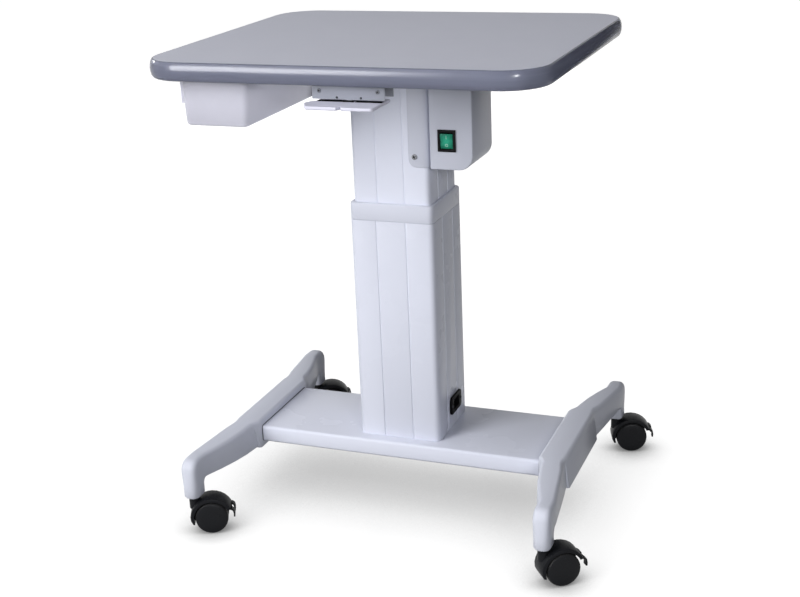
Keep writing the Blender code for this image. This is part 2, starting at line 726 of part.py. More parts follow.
def actuator():
    mx = COL_W / 2 - INLET_DEEP - DRIVE_CLEAR - GEAR_EDGE
    ax = mx - DRIVE_SPAN
    low = BEAM_TOP + GAP + FOOT_T + GAP
    lug = 2 * DRIVE_PIN_R
    pin_z = low + EAR_T + DRIVE_PIN_R + 0.0085
    ear = lug + RUN
    wide = 3.5 * DRIVE_PIN_R
    ys = (-ear - EAR_T, -ear, ear, ear + EAR_T)
    zs = (low, low + EAR_T, pin_z + 0.009)
    bracket = cells((ax - wide, ax + wide), ys, zs, lambda i, j, k: k == 0 or j != 1)
    foot = solid("actuator_bracket", bracket, DARK_STEEL)
    cut(foot, rod_y(DRIVE_PIN_R + GAP, -GEAR_D, GEAR_D, 16, ax, pin_z))
    reach = ear + EAR_T + 0.002
    solid("actuator_pin_lower", rod_y(DRIVE_PIN_R, -reach, reach, 14, ax, pin_z), STEEL)
    body = pin_z + 0.0125
    head = body + GEAR_H
    half = DRIVE_SPAN / 2 + GEAR_EDGE
    outline = rounded(half, GEAR_D / 2, GEAR_R, 3, (ax + mx) / 2, 0.0)
    case = solid("actuator_gearbox", prism(outline, body, head), BLACK_PLASTIC)
    join(case, box(ax - 0.009, ax + 0.009, -lug, lug, pin_z - 0.009, body + 0.002))
    cut(case, rod_y(DRIVE_PIN_R + GAP, -GEAR_D, GEAR_D, 16, ax, pin_z))
    seat = head + GAP
    crown = head + MOTOR_L
    motor = revolve([(0, seat), (MOTOR_R, seat), (MOTOR_R, crown - MOTOR_EASE),
                     (MOTOR_R - MOTOR_EASE / 2, crown), (0, crown)], 24)
    solid("actuator_motor", moved(motor, lambda x, y, z: (x + mx, y, z)), DARK_STEEL)
    tube_top = COL_SEAM - TUBE_SHORT
    bore = TUBE_R - TUBE_WALL
    tube = revolve([(bore, seat), (TUBE_R, seat), (TUBE_R, tube_top), (bore, tube_top)], 24)
    solid("actuator_tube", moved(tube, lambda x, y, z: (x + ax, y, z)), STEEL)
    screw_top = tube_top - 0.002
    screw = revolve([(0, seat), (SCREW_R, seat), (SCREW_R, screw_top), (0, screw_top)], 16)
    solid("lead_screw", moved(screw, lambda x, y, z: (x + ax, y, z)), STEEL, (ax, 0.0, head))
    head_z = PLATE_LOW - GAP
    eye = head_z - 0.0230
    sole = head + 0.076
    nut = SCREW_R + RUN
    deep = screw_top + 0.085
    prof = [(nut, sole), (PUSH_R, sole), (PUSH_R, eye + 2 * EYE_R), (0, eye + 2 * EYE_R), (0, deep),
            (PUSH_BORE, deep), (PUSH_BORE, sole + NUT_H), (nut, sole + NUT_H)]
    rod = solid("push_tube", moved(push_shape(prof), lambda x, y, z: (x + ax, y, z)), STEEL)
    cut(rod, rod_y(EYE_R + GAP, -GEAR_D, GEAR_D, 16, ax, eye))
    ear = PUSH_R + RUN
    wide = 3.2 * EYE_R
    ys = (-ear - EAR_T, -ear, ear, ear + EAR_T)
    zs = (eye - 0.009, head_z - EAR_T - 0.001, head_z)
    fork = cells((ax - wide, ax + wide), ys, zs, lambda i, j, k: k == 1 or j != 1)
    mount = solid("actuator_top_bracket", fork, DARK_STEEL)
    cut(mount, rod_y(EYE_R + GAP, -GEAR_D, GEAR_D, 16, ax, eye))
    reach = ear + EAR_T + 0.002
    solid("actuator_pin_upper", rod_y(EYE_R, -reach, reach, 14, ax, eye), STEEL)


def push_shape(prof):
    """Blind tube: outside up and over the top, then the stepped bore back down to the foot."""
    verts = []
    rows = []
    for r, h in prof:
        if r == 0:
            rows.append([len(verts)])
            verts.append((0.0, 0.0, h))
        else:
            rows.append(list(range(len(verts), len(verts) + 20)))
            verts += [(p[0], p[1], h) for p in circle(r, 20)]
    faces = []
    for a, b in [(rows[i], rows[(i + 1) % len(rows)]) for i in range(len(rows))]:
        if len(a) == 1 and len(b) == 1:
            continue
        for j in range(20):
            k = (j + 1) % 20
            if len(a) == 1:
                faces.append((a[0], b[j], b[k]))
            elif len(b) == 1:
                faces.append((a[j], a[k], b[0]))
            else:
                faces.append((a[j], a[k], b[k], b[j]))
    return verts, faces


def saddle(left, low, top):
    """Mounting flange on the inner column's front: flat, round at its lower corner, bent round the column."""
    skin = -INNER_W / 2 - GAP
    fx = left - FLANGE_W
    bend = INNER_R + GAP
    cx, cy = INNER_W / 2 - INNER_R, -INNER_W / 2 + INNER_R
    rings = []

    def strip(near, far, z):
        rings.append([near + (z,), far + (z,), far + (top,), near + (top,)])

    for x, z in corner_arc(fx + FLANGE_R, low + FLANGE_R, FLANGE_R, 180, 5):
        strip((x, skin), (x, skin - FLANGE_T), z)
    for i in range(7):
        a = math.radians(-90 + 15.0 * i)
        strip((cx + bend * math.cos(a), cy + bend * math.sin(a)),
              (cx + (bend + FLANGE_T) * math.cos(a), cy + (bend + FLANGE_T) * math.sin(a)), low)
    strip((left + GAP, cy + FLANGE_T), (left + FLANGE_T - GAP, cy + FLANGE_T), low + GAP)
    return loft(rings)


def switch_box():
    left = INNER_W / 2 + GAP
    right = left + BOX_W
    top = PLATE_LOW - GAP
    low = top - BOX_H
    front = -INNER_W / 2 - BOX_FRONT
    rear = front + BOX_D
    w = BOX_WALL
    nook = -INNER_W / 2 + INNER_R
    outline = [(left, low), (right - BOX_R, low)]
    outline += corner_arc(right - BOX_R, low + BOX_R, BOX_R, 270, 7)[1:]
    outline += [(right, top), (left, top)]
    case = solid("control_box", sheet_y(outline, front, rear, 0.0012), WHITE_PAINT)
    cut(case, box(left - 0.01, left + BOX_RECESS, front - 0.01, nook, low - 0.01, top + 0.01))
    for lip, y0, y1 in ((left + w, nook + w, rear - w), (left + BOX_RECESS + w, front + w, nook + 2 * w)):
        hollow = [(lip, low + w), (right - BOX_R, low + w)]
        hollow += corner_arc(right - BOX_R, low + BOX_R, BOX_R - w, 270, 7)[1:]
        hollow += [(right - w, top - w), (lip, top - w)]
        cut(case, sheet_y(hollow, y0, y1))
    cut(case, box(left - 0.01, left + w + 0.001, nook + 0.010, rear - 0.010, low + 0.014, top - BOX_SPACE))
    join(case, saddle(left, low, top - 0.004))
    sx = left + SWITCH_X
    sz = low + SWITCH_UP
    hx, hz = SWITCH_W / 2, SWITCH_H / 2
    ix, iz = hx - SWITCH_RIM, hz - SWITCH_RIM
    cut(case, box(sx - ix, sx + ix, front - 0.01, front + w + 0.002, sz - iz, sz + iz))
    face = front - GAP
    rx, rz = ix - GAP - SWITCH_WALL, iz - GAP - SWITCH_WALL
    xs = (sx - hx, sx - ix + GAP, sx - rx, sx + rx, sx + ix - GAP, sx + hx)
    zs = (sz - hz, sz - iz + GAP, sz - rz, sz + rz, sz + iz - GAP, sz + hz)
    ys = (face - 0.0024, face, face + 0.016)

    def bezel(i, j, k):
        ring = not (i == 2 and k == 2)
        sleeve = i in (1, 2, 3) and k in (1, 2, 3)
        return ring and (j == 0 or sleeve)

    solid("power_switch_bezel", cells(xs, ys, zs, bezel), BLACK_PLASTIC)
    pivot = (sx, face + 0.0035, sz)
    hw = rx - RUN
    reach = rz - 0.0009
    tilt = math.radians(7.0)
    body = []
    for y, z in ((-0.0052, reach), (-0.0064, reach * 0.55), (-0.0052, 0.0), (-0.0064, -reach * 0.55),
                 (-0.0052, -reach), (0.0030, -reach * 0.72), (0.0060, 0.0), (0.0030, reach * 0.72)):
        body.append((pivot[1] + y * math.cos(tilt) - z * math.sin(tilt),
                     pivot[2] + y * math.sin(tilt) + z * math.cos(tilt)))
    rings = [[(x, p[0], p[1]) for p in body] for x in (sx - hw, sx + hw)]
    solid("power_switch_rocker", loft(rings), GREEN_ROCKER, pivot)
    coil_x = left + w + BOX_SPACE
    coil_z = low + w + GAP
    coil = (coil_x, right - BOX_R - 0.001, front + COIL_IN, rear - BOX_SPACE, coil_z, coil_z + COIL_H)
    solid("transformer", box(*coil), DARK_STEEL)
    board_x = right - w - GAP
    board_y = (front + BOARD_EDGE, rear - BOARD_EDGE)
    board = box(board_x - BOARD_T, board_x, board_y[0], board_y[1], low + BOARD_LOW, top - BOX_SPACE)
    solid("control_board", board, BOARD_GREEN)


def paddle():
    y0 = TOP_FRONT + BRACKET_BACK
    y1 = y0 + BRACKET_D
    low = UNDER - GAP - BRACKET_H
    top = UNDER - GAP
    hx = BRACKET_W / 2
    t = BRACKET_T
    pin_z = low + HINGE_UP
    frame = solid("paddle_bracket", cells((PADDLE_X - hx, PADDLE_X + hx), (y0, y0 + t, y1 - t, y1),
                                          (low, top - t, top), lambda i, j, k: k == 1 or j != 1), WHITE_PAINT)
    bore = HINGE_PIN_R + 0.0002
    blind = y0 + 0.4 * t
    cut(frame, rod_y(bore, blind, y1 + t, 14, PADDLE_X, pin_z))
    solid("paddle_pin", rod_y(HINGE_PIN_R, blind + GAP, y1 + 0.0015, 12, PADDLE_X, pin_z), STEEL)
    front = TOP_FRONT - PADDLE_REACH
    rear = y1 - t - 0.0012
    left = PADDLE_X - PADDLE_W / 2
    right = PADDLE_X + PADDLE_W / 2
    plate_top = low - PADDLE_DROP
    r = PADDLE_R
    ear = left - PADDLE_EAR
    ear_y = front + PADDLE_EAR_L
    outline = [(right, rear), (left, rear), (left, ear_y + 3 * r)]
    outline += [(ear + r / 2, ear_y + 2 * r), (ear, ear_y + r), (ear, ear_y)]
    outline += [(left - 0.0012, front + r / 2), (left + r / 4, front)]
    outline += [(PADDLE_X - NOTCH_W / 2, front), (PADDLE_X, front + NOTCH_D), (PADDLE_X + NOTCH_W / 2, front)]
    outline += corner_arc(right - r, front + r, r, 270, 3)
    thin = inset(outline, 0.9 * PADDLE_EASE)
    sole = plate_top - PADDLE_T
    rings = [level(thin, sole), level(outline, sole + PADDLE_EASE),
             level(outline, plate_top - PADDLE_EASE), level(thin, plate_top)]
    pivot = (PADDLE_X, (y0 + y1) / 2, pin_z)
    plate = solid("control_paddle", loft(rings), WHITE_PLASTIC, pivot)
    hub0, hub1 = y0 + t + RUN, y1 - t - RUN - 0.001
    stalk = 0.75 * HINGE_R
    join(plate, box(PADDLE_X - stalk, PADDLE_X + stalk, hub0, hub1, plate_top - 0.002, pin_z))
    join(plate, rod_y(HINGE_R, hub0 - 0.00005, hub1 + 0.00005, 16, PADDLE_X, pin_z))
    cut(plate, rod_y(bore, y0 - 0.01, y1 + 0.01, 14, PADDLE_X, pin_z))
    for name, sign in (("microswitch_left", -1), ("microswitch_right", 1)):
        cx = PADDLE_X + sign * PADDLE_W * 0.34
        xs = (cx - 0.010, cx - 0.0015, cx + 0.0015, cx + 0.010)
        cy = (y0 + y1) / 2
        ys = (cy - 0.0045, cy - 0.0015, cy + 0.0015, cy + 0.0045)
        body_top = top - t - GAP
        zs = (plate_top + 0.0020, low + 0.0030, body_top)
        solid(name, cells(xs, ys, zs, lambda i, j, k: k == 1 or (i == 1 and j == 1)), BLACK_PLASTIC)


def drawer():
    front = TOP_FRONT + DRAWER_BACK
    rear = front + DRAWER_L
    cy = (front + rear) / 2
    hy = DRAWER_L / 2
    hx = DRAWER_W / 2
    top = UNDER - DRAWER_DROP
    low = top - DRAWER_H
    w = DRAWER_WALL
    bend = low + DRAWER_H * 0.52

    def ring(z, e, r):
        share = min(1.0, (z - low) / (bend - low))
        return level(rounded(hx - DRAWER_TAPER * (1 - share) - e, hy - e, r, 4, DRAWER_X, cy), z)

    rings = [ring(low, 0.0036, 0.0064), ring(low + 0.0011, 0.0011, 0.0085), ring(low + 0.0036, 0.0, 0.0095),
             ring(bend, 0.0, 0.0095), ring(top, 0.0, 0.0095), ring(top, w, 0.0075), ring(bend, w, 0.0075),
             ring(low + 0.0050, w, 0.0075), ring(low + w + 0.0004, w + 0.0022, 0.0053)]
    tray = solid("drawer", loft(rings), WHITE_PLASTIC, (DRAWER_X, front, top))
    lip_low = top - LIP_T
    for sign in (-1, 1):
        xs = sorted(DRAWER_X + sign * v for v in (hx - 0.0007, hx + LIP_REACH))
        join(tray, box(xs[0], xs[1], front + LIP_START, rear - LIP_END, lip_low, top - 0.0002))
    foot = lip_low - RUN
    ledge = foot - RAIL_T
    under = UNDER - GAP
    start = front + RAIL_START
    rails = (("drawer_rail_left", -1, start, (under - RAIL_SKIRT,)),
             ("drawer_rail_right", 1, start + RAIL_SHORT, ()))
    for name, sign, near, skirt in rails:
        xs = sorted(DRAWER_X + sign * v for v in (hx + 0.0022, RAIL_REACH - RAIL_T, RAIL_REACH))
        zs = skirt + (ledge, foot, under)
        outer = 0 if sign < 0 else 1
        head = len(zs) - 2

        def keep(i, j, k, outer=outer, head=head):
            return i == outer or k < head

        solid(name, cells(xs, (near, rear + RAIL_OVER), zs, keep), WHITE_PLASTIC)


def inlet():
    wall = COL_W / 2
    z = INLET_Z
    face = wall + GAP
    hy, hz = INLET_W / 2, INLET_H / 2

    def out(shape):
        return moved(shape, lambda a, b, h: (h, a, b))

    plate = prism(rounded(hy, hz, 0.007, 4, INLET_Y, z), face, face + 0.003)
    part = solid("mains_inlet", out(plate), BLACK_PLASTIC)
    join(part, box(wall - INLET_DEEP, face + 0.001, INLET_Y - 0.014, INLET_Y + 0.014, z - 0.010, z + 0.010))
    well = wall - INLET_DEEP + 0.003
    cut(part, box(well, face + 0.01, INLET_Y - 0.012, INLET_Y + 0.012, z - 0.008, z + 0.008))


def centre():
    """Put the middle of the whole table's footprint on the origin, with the floor at Z = 0."""
    bpy.context.view_layer.update()
    pts = [ob.matrix_world @ v.co for ob in bpy.data.objects if ob.type == "MESH" for v in ob.data.vertices]
    mid_x = (min(p.x for p in pts) + max(p.x for p in pts)) / 2
    mid_y = (min(p.y for p in pts) + max(p.y for p in pts)) / 2
    low = min(p.z for p in pts)
    for ob in bpy.data.objects:
        ob.location -= Vector((mid_x, mid_y, low))


def main():
    reset()
    tops()
    columns()
    base()
    caster("fl", -1, -1, YAW_FL)
    caster("fr", 1, -1, YAW_FR)
    caster("rl", -1, 1, YAW_RL)
    caster("rr", 1, 1, YAW_RR)
    actuator()
    switch_box()
    paddle()
    drawer()
    inlet()
    centre()
    bpy.context.view_layer.update()


main()
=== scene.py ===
"""Looks for a motorized instrument table: finishes, small fittings, studio and camera."""

import json
import math

import bmesh
import bpy
from mathutils import Matrix, Vector
from mathutils.bvhtree import BVHTree


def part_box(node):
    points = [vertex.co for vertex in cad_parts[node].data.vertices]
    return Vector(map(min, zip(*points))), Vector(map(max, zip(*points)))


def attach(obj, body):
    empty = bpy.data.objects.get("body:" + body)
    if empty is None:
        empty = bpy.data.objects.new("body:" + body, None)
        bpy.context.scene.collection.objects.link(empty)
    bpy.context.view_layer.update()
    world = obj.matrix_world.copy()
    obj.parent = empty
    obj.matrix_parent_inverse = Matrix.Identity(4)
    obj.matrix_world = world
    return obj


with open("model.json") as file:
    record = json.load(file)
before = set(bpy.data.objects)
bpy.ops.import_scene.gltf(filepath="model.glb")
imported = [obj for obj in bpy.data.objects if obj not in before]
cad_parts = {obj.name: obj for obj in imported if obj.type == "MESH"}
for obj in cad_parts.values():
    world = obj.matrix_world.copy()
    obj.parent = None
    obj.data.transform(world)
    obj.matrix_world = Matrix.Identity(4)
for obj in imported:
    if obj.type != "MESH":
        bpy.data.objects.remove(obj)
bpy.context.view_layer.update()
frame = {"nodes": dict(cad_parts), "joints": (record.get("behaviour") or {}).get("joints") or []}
NODES = frame["nodes"]
JOINTS = {j["name"]: j for j in frame["joints"]}
SCENE = bpy.context.scene


def middle(node):
    """Centre of a CAD node's box at rest."""
    low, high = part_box(node)
    return (low + high) / 2


# Column axis in plan: the camera and the dark card are placed from it
AXIS = Vector((middle("outer_column").x, middle("outer_column").y, 0.0))


# Colours and node helpers

def srgb(r, g, b):
    """An 8-bit screen colour as the linear value that a shader takes."""
    out = []
    for v in (r, g, b):
        v /= 255.0
        out.append(v / 12.92 if v <= 0.04045 else ((v + 0.055) / 1.055) ** 2.4)
    return (out[0], out[1], out[2], 1.0)


def shade(colour, k):
    """The same colour, k times as bright."""
    return (min(1.0, colour[0] * k), min(1.0, colour[1] * k), min(1.0, colour[2] * k), 1.0)


class Tree:
    """Short names for building one material's nodes."""

    def __init__(self, name):
        self.mat = bpy.data.materials.new(name)
        self.mat.use_nodes = True
        self.nodes = self.mat.node_tree.nodes
        self.links = self.mat.node_tree.links
        self.bsdf = self.nodes["Principled BSDF"]
        self.place = self.add("ShaderNodeTexCoord").outputs["Object"]

    def add(self, kind, **props):
        node = self.nodes.new(kind)
        for key, value in props.items():
            setattr(node, key, value)
        return node

    def put(self, socket, value):
        if isinstance(value, bpy.types.NodeSocket):
            self.links.new(value, socket)
        else:
            socket.default_value = value

    def math(self, op, a, b=0.0, c=0.0):
        node = self.add("ShaderNodeMath", operation=op)
        for i, v in enumerate((a, b, c)):
            self.put(node.inputs[i], v)
        return node.outputs[0]

    def vec(self, op, a, b=(0.0, 0.0, 0.0)):
        node = self.add("ShaderNodeVectorMath", operation=op)
        self.put(node.inputs[0], a)
        if op not in ("LENGTH", "NORMALIZE"):
            self.put(node.inputs[1], b)
        return node.outputs["Value" if op in ("LENGTH", "DOT_PRODUCT") else "Vector"]

    def noise(self, scale, detail=2.0, rough=0.5, where=None, stretch=None):
        src = where or self.place
        if stretch:
            src = self.vec("MULTIPLY", src, stretch)
        node = self.add("ShaderNodeTexNoise")
        self.put(node.inputs["Vector"], src)
        self.put(node.inputs["Scale"], scale)
        self.put(node.inputs["Detail"], detail)
        self.put(node.inputs["Roughness"], rough)
        return node.outputs["Fac"]

    def cells(self, scale, where=None):
        node = self.add("ShaderNodeTexVoronoi")
        self.put(node.inputs["Vector"], where or self.place)
        self.put(node.inputs["Scale"], scale)
        return node.outputs["Distance"]

    def span(self, value, a, b, c=0.0, d=1.0):
        """Maps a..b to c..d, clamped."""
        node = self.add("ShaderNodeMapRange")
        self.put(node.inputs["Value"], value)
        for key, v in (("From Min", a), ("From Max", b), ("To Min", c), ("To Max", d)):
            self.put(node.inputs[key], v)
        return node.outputs["Result"]

    def mix(self, share, a, b):
        node = self.add("ShaderNodeMix", data_type="RGBA")
        self.put(node.inputs[0], share)
        self.put(node.inputs[6], a)
        self.put(node.inputs[7], b)
        return node.outputs[2]

    def axis(self, which):
        node = self.add("ShaderNodeSeparateXYZ")
        self.put(node.inputs[0], self.place)
        return node.outputs[which]

    def bump(self, height, strength, distance):
        node = self.add("ShaderNodeBump")
        self.put(node.inputs["Strength"], strength)
        self.put(node.inputs["Distance"], distance)
        self.put(node.inputs["Height"], height)
        self.put(self.bsdf.inputs["Normal"], node.outputs["Normal"])

    def set(self, **sockets):
        for key, value in sockets.items():
            self.put(self.bsdf.inputs[key.replace("_", " ")], value)


# Finishes

def powder_coat(name, colour, rough=0.27, peel=0.05, grime=0.02, gloss=0.10):
    """Stoved powder paint: fine orange peel, faint cloudiness, a little handling dirt."""
    t = Tree(name)
    cloud = t.noise(7.0, 4.0, 0.55)
    fleck = t.noise(1400.0, 1.0)
    tone = t.mix(t.span(cloud, 0.32, 0.68), shade(colour, 0.985), shade(colour, 1.01))
    tone = t.mix(t.span(fleck, 0.58, 0.75, 0.0, 0.06), tone, shade(colour, 0.80))
    smear = t.noise(34.0, 5.0, 0.65)
    tone = t.mix(t.span(smear, 0.60, 0.82, 0.0, grime), tone, shade(colour, 0.62))
    t.set(Base_Color=tone, Roughness=t.span(cloud, 0.3, 0.7, rough - 0.015, rough + 0.02))
    t.set(Specular_IOR_Level=gloss)
    peel_height = t.math("ADD", t.noise(620.0, 2.0), t.math("MULTIPLY", fleck, 0.4))
    t.bump(peel_height, peel, 0.0004)
    return t.mat


def moulded(name, colour, rough=0.45, grain=0.10, scale=1800.0, gloss=0.14, deep=0.0):
    """Moulded plastic with a fine spark-eroded grain and slight mottling."""
    t = Tree(name)
    mottle = t.noise(16.0, 3.0, 0.5)
    tone = t.mix(t.span(mottle, 0.3, 0.7), shade(colour, 0.97), shade(colour, 1.02))
    rub = t.noise(55.0, 5.0, 0.7)
    t.set(Base_Color=tone, Roughness=t.span(rub, 0.3, 0.75, rough - 0.07, rough + 0.08))
    t.set(Specular_IOR_Level=gloss, Subsurface_Weight=deep, Subsurface_Scale=0.012)
    t.bsdf.inputs["Subsurface Radius"].default_value = (1.0, 1.0, 1.0)
    pits = t.math("ADD", t.cells(scale), t.math("MULTIPLY", t.noise(scale * 0.6, 1.0), 0.7))
    t.bump(pits, grain, 0.0003)
    return t.mat


def metal(name, colour, rough=0.30, along=(1.0, 1.0, 18.0)):
    """Plain or plated steel with fine drawn lines and dull patches."""
    t = Tree(name)
    lines = t.noise(900.0, 3.0, 0.6, stretch=along)
    patch = t.noise(40.0, 4.0)
    t.set(Base_Color=t.mix(t.span(patch, 0.3, 0.75), colour, shade(colour, 0.72)), Metallic=1.0)
    t.set(Roughness=t.span(lines, 0.25, 0.75, rough - 0.08, rough + 0.14))
    t.bump(lines, 0.06, 0.0002)
    return t.mat


def screw_head(name, colour, r):
    """Plated screw head of radius r, with painted shade in its recess."""
    t = Tree(name)
    out = t.vec("LENGTH", t.vec("MULTIPLY", t.place, (1.0, 1.0, 0.0)))
    # The cross recess is painted near-black: painted shade where the hollow falls dark.
    deep = t.math("MULTIPLY", t.span(out, 0.70 * r, 0.66 * r), t.span(t.axis(2), 0.48 * r, 0.36 * r))
    wear = t.noise(900.0, 3.0)
    tone = t.mix(t.span(wear, 0.35, 0.70), colour, shade(colour, 0.82))
    t.set(Base_Color=t.mix(deep, tone, srgb(16, 16, 18)), Roughness=t.span(wear, 0.3, 0.7, 0.34, 0.50))
    t.set(Specular_IOR_Level=0.20)
    t.bump(wear, 0.05, 0.0002)
    return t.mat


def laminate(name, colour, under, low):
    """Satin laminate with a fine pebble; the board's underside has a paler backing sheet."""
    t = Tree(name)
    pebble = t.noise(1500.0, 2.0, 0.6)
    cloud = t.noise(3.0, 2.0)
    tone = t.mix(t.span(pebble, 0.38, 0.66), shade(colour, 0.94), shade(colour, 1.05))
    tone = t.mix(t.span(cloud, 0.3, 0.7, 0.0, 0.12), tone, shade(colour, 0.98))
    fibre = t.noise(260.0, 4.0, 0.7, stretch=(0.25, 1.0, 1.0))
    back = t.mix(t.span(fibre, 0.35, 0.7), under, shade(under, 0.9))
    upper = t.span(t.axis(2), low + 0.0008, low + 0.0014)
    scuff = t.noise(22.0, 6.0, 0.7)
    t.set(Base_Color=t.mix(upper, back, tone), Roughness=t.span(scuff, 0.35, 0.75, 0.52, 0.60))
    t.set(Specular_IOR_Level=0.13)
    t.bump(pebble, 0.10, 0.0003)
    return t.mat


def edge_vinyl(name, colour):
    """Extruded edge moulding: smooth and glossy, with faint drawn-out streaks and hairline rubs."""
    t = Tree(name)
    streak = t.noise(40.0, 4.0, 0.6, stretch=(0.15, 0.15, 8.0))
    rub = t.noise(90.0, 5.0, 0.7, stretch=(0.2, 0.2, 3.0))
    tone = t.mix(t.span(streak, 0.3, 0.7), shade(colour, 0.94), shade(colour, 1.05))
    t.set(Base_Color=tone, Roughness=t.span(rub, 0.35, 0.75, 0.17, 0.24), Specular_IOR_Level=0.08)
    t.bump(t.noise(500.0, 2.0), 0.02, 0.0002)
    return t.mat


def wheel_nylon(name, colour, hub, spin):
    """Black nylon wheel: polished disc face, duller tread with scuffs round its rim."""
    t = Tree(name)
    arm = t.vec("SUBTRACT", t.place, tuple(hub))
    radius = t.vec("LENGTH", t.vec("CROSS_PRODUCT", arm, tuple(spin)))
    tread = t.span(radius, 0.0232, 0.0249)
    scuff = t.noise(240.0, 6.0, 0.75)
    worn = t.math("MULTIPLY", tread, t.span(scuff, 0.40, 0.80, 0.15, 0.9))
    t.set(Base_Color=t.mix(worn, colour, srgb(58, 57, 56)), Specular_IOR_Level=0.12)
    face = t.span(t.noise(60.0, 4.0), 0.3, 0.7, 0.24, 0.36)
    t.set(Roughness=t.math("ADD", face, t.math("MULTIPLY", tread, 0.22)))
    turned = t.math("SINE", t.math("MULTIPLY", radius, 9000.0))
    t.bump(t.math("ADD", t.math("MULTIPLY", turned, 0.25), t.noise(1500.0, 1.0)), 0.05, 0.0002)
    return t.mat


def rocker_green(name, colour):
    """Tinted rocker: painted shade at its ends and a painted glow at its centre."""
    t = Tree(name)
    c = middle("power_switch_rocker")
    d = t.vec("LENGTH", t.vec("MULTIPLY", t.vec("SUBTRACT", t.place, tuple(c)), (1.0, 0.0, 0.8)))
    # Painted light: the colour is brighter towards the centre and darker towards the ends.
    painted_glow = t.span(d, 0.0095, 0.002)
    haze = t.noise(320.0, 3.0)
    tone = t.mix(painted_glow, shade(colour, 0.55), shade(colour, 1.35))
    tone = t.mix(t.span(haze, 0.4, 0.7, 0.0, 0.25), tone, shade(colour, 1.7))
    t.set(Base_Color=tone, Roughness=t.span(haze, 0.3, 0.7, 0.24, 0.34), Specular_IOR_Level=0.06)
    t.bump(haze, 0.03, 0.0002)
    return t.mat


# Screw head radii, in metres: the recess in a head's finish is set from them
FLANGE_SCREW_R = 0.0043
BRACKET_SCREW_R = 0.0029

PAINT = srgb(210, 213, 226)
CAST = srgb(206, 209, 221)
PALE = srgb(214, 214, 229)
BLACK = srgb(22, 23, 26)

MAT = {
    # column, inner and beam are one paint at three brightnesses: the steps are painted light, set so
    # each part matches how bright it looks under the lamps
    "column": powder_coat("column_paint", shade(PAINT, 0.97), peel=0.02),
    "inner": powder_coat("inner_paint", shade(PAINT, 1.13), peel=0.02, gloss=0.04),
    "beam": powder_coat("beam_paint", shade(PAINT, 1.03), peel=0.02),
    "cast": powder_coat("cast_paint", CAST, rough=0.30, peel=0.10, grime=0.03, gloss=0.04),
    "box": powder_coat("box_paint", srgb(200, 203, 216), rough=0.34, peel=0.08),
    "bracket": powder_coat("bracket_paint", srgb(148, 151, 161), rough=0.34, peel=0.08),
    "plastic": moulded("pale_plastic", PALE, rough=0.42),
    "tray": moulded("tray_plastic", srgb(193, 193, 207), rough=0.34, grain=0.04, gloss=0.20, deep=0.4),
    "black": moulded("black_plastic", BLACK, rough=0.40, grain=0.14, gloss=0.08),
    "gloss_black": moulded("gloss_black", srgb(14, 14, 16), rough=0.22, grain=0.05, gloss=0.10),
    "inlet": moulded("inlet_black", srgb(11, 11, 13), rough=0.45, grain=0.10, gloss=0.02),
    "steel": metal("plain_steel", srgb(190, 190, 196)),
    "dark_steel": metal("plated_steel", srgb(120, 122, 128), rough=0.42),
    "flange_screw": screw_head("flange_screw_zinc", srgb(158, 160, 166), FLANGE_SCREW_R),
    "bracket_screw": screw_head("bracket_screw_zinc", srgb(132, 134, 141), BRACKET_SCREW_R),
    "black_screw": moulded("blackened_steel", srgb(58, 59, 64), rough=0.55, grain=0.12, gloss=0.08),
    "glide": moulded("acetal", srgb(220, 219, 212), rough=0.5),
    "board": moulded("circuit_board", srgb(30, 92, 62), rough=0.4),
    "laminate": laminate("grey_laminate", srgb(201, 203, 216), srgb(196, 196, 200),
                         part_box("table_top")[0].z),
    "edge": edge_vinyl("edge_vinyl", srgb(98, 101, 117)),
    "green": rocker_green("green_rocker", srgb(48, 150, 122)),
    "mark": moulded("pale_mark", srgb(170, 222, 205), rough=0.5),
    # Dark felt for the paddle: painted shade for the gap under the bracket.
    "shade_felt": moulded("shade_felt", srgb(32, 32, 35), rough=0.85, grain=0.30, scale=2600.0, gloss=0.05),
    # Dark grey strips at the beam's ends: painted shade for the gap where the beam meets the legs.
    "shade_rubber": moulded("shade_rubber", srgb(62, 63, 68), rough=0.62, grain=0.2, scale=900.0, gloss=0.15),
}

# Finish of each CAD node; wheels get one each, stems are steel and the rest are black plastic
USES = {
    "column": ("outer_column", "column_collar"),
    "inner": ("inner_column",),
    "beam": ("base_beam",),
    "cast": ("leg_left", "leg_right"),
    "box": ("control_box",),
    "bracket": ("paddle_bracket",),
    "tray": ("drawer",),
    "plastic": ("control_paddle", "drawer_rail_left", "drawer_rail_right"),
    "gloss_black": ("power_switch_bezel",),
    "inlet": ("mains_inlet",),
    "glide": ("upper_glide", "lower_glide"),
    "dark_steel": ("top_mount_plate", "column_foot", "transformer", "actuator_bracket",
                   "actuator_top_bracket", "actuator_gearbox", "actuator_motor"),
    "steel": ("lead_screw", "push_tube", "actuator_tube", "actuator_pin_lower", "actuator_pin_upper",
              "paddle_pin"),
    "green": ("power_switch_rocker",),
    "board": ("control_board",),
    "laminate": ("table_top",),
    "edge": ("edge_moulding",),
}
FINISH = {n: finish for finish, names in USES.items() for n in names}
for n in NODES:
    if "_wheel_" in n:
        joint = JOINTS[n.replace("_wheel_", "_roll_")]
        MAT[n] = wheel_nylon(n + "_nylon", BLACK, joint["pos_m"], joint["axis"])
        FINISH[n] = n
    elif n not in FINISH:
        FINISH[n] = "steel" if n.endswith("_stem") else "black"


# Shading of the CAD solids: welded, softened at their edges and smoothed by angle

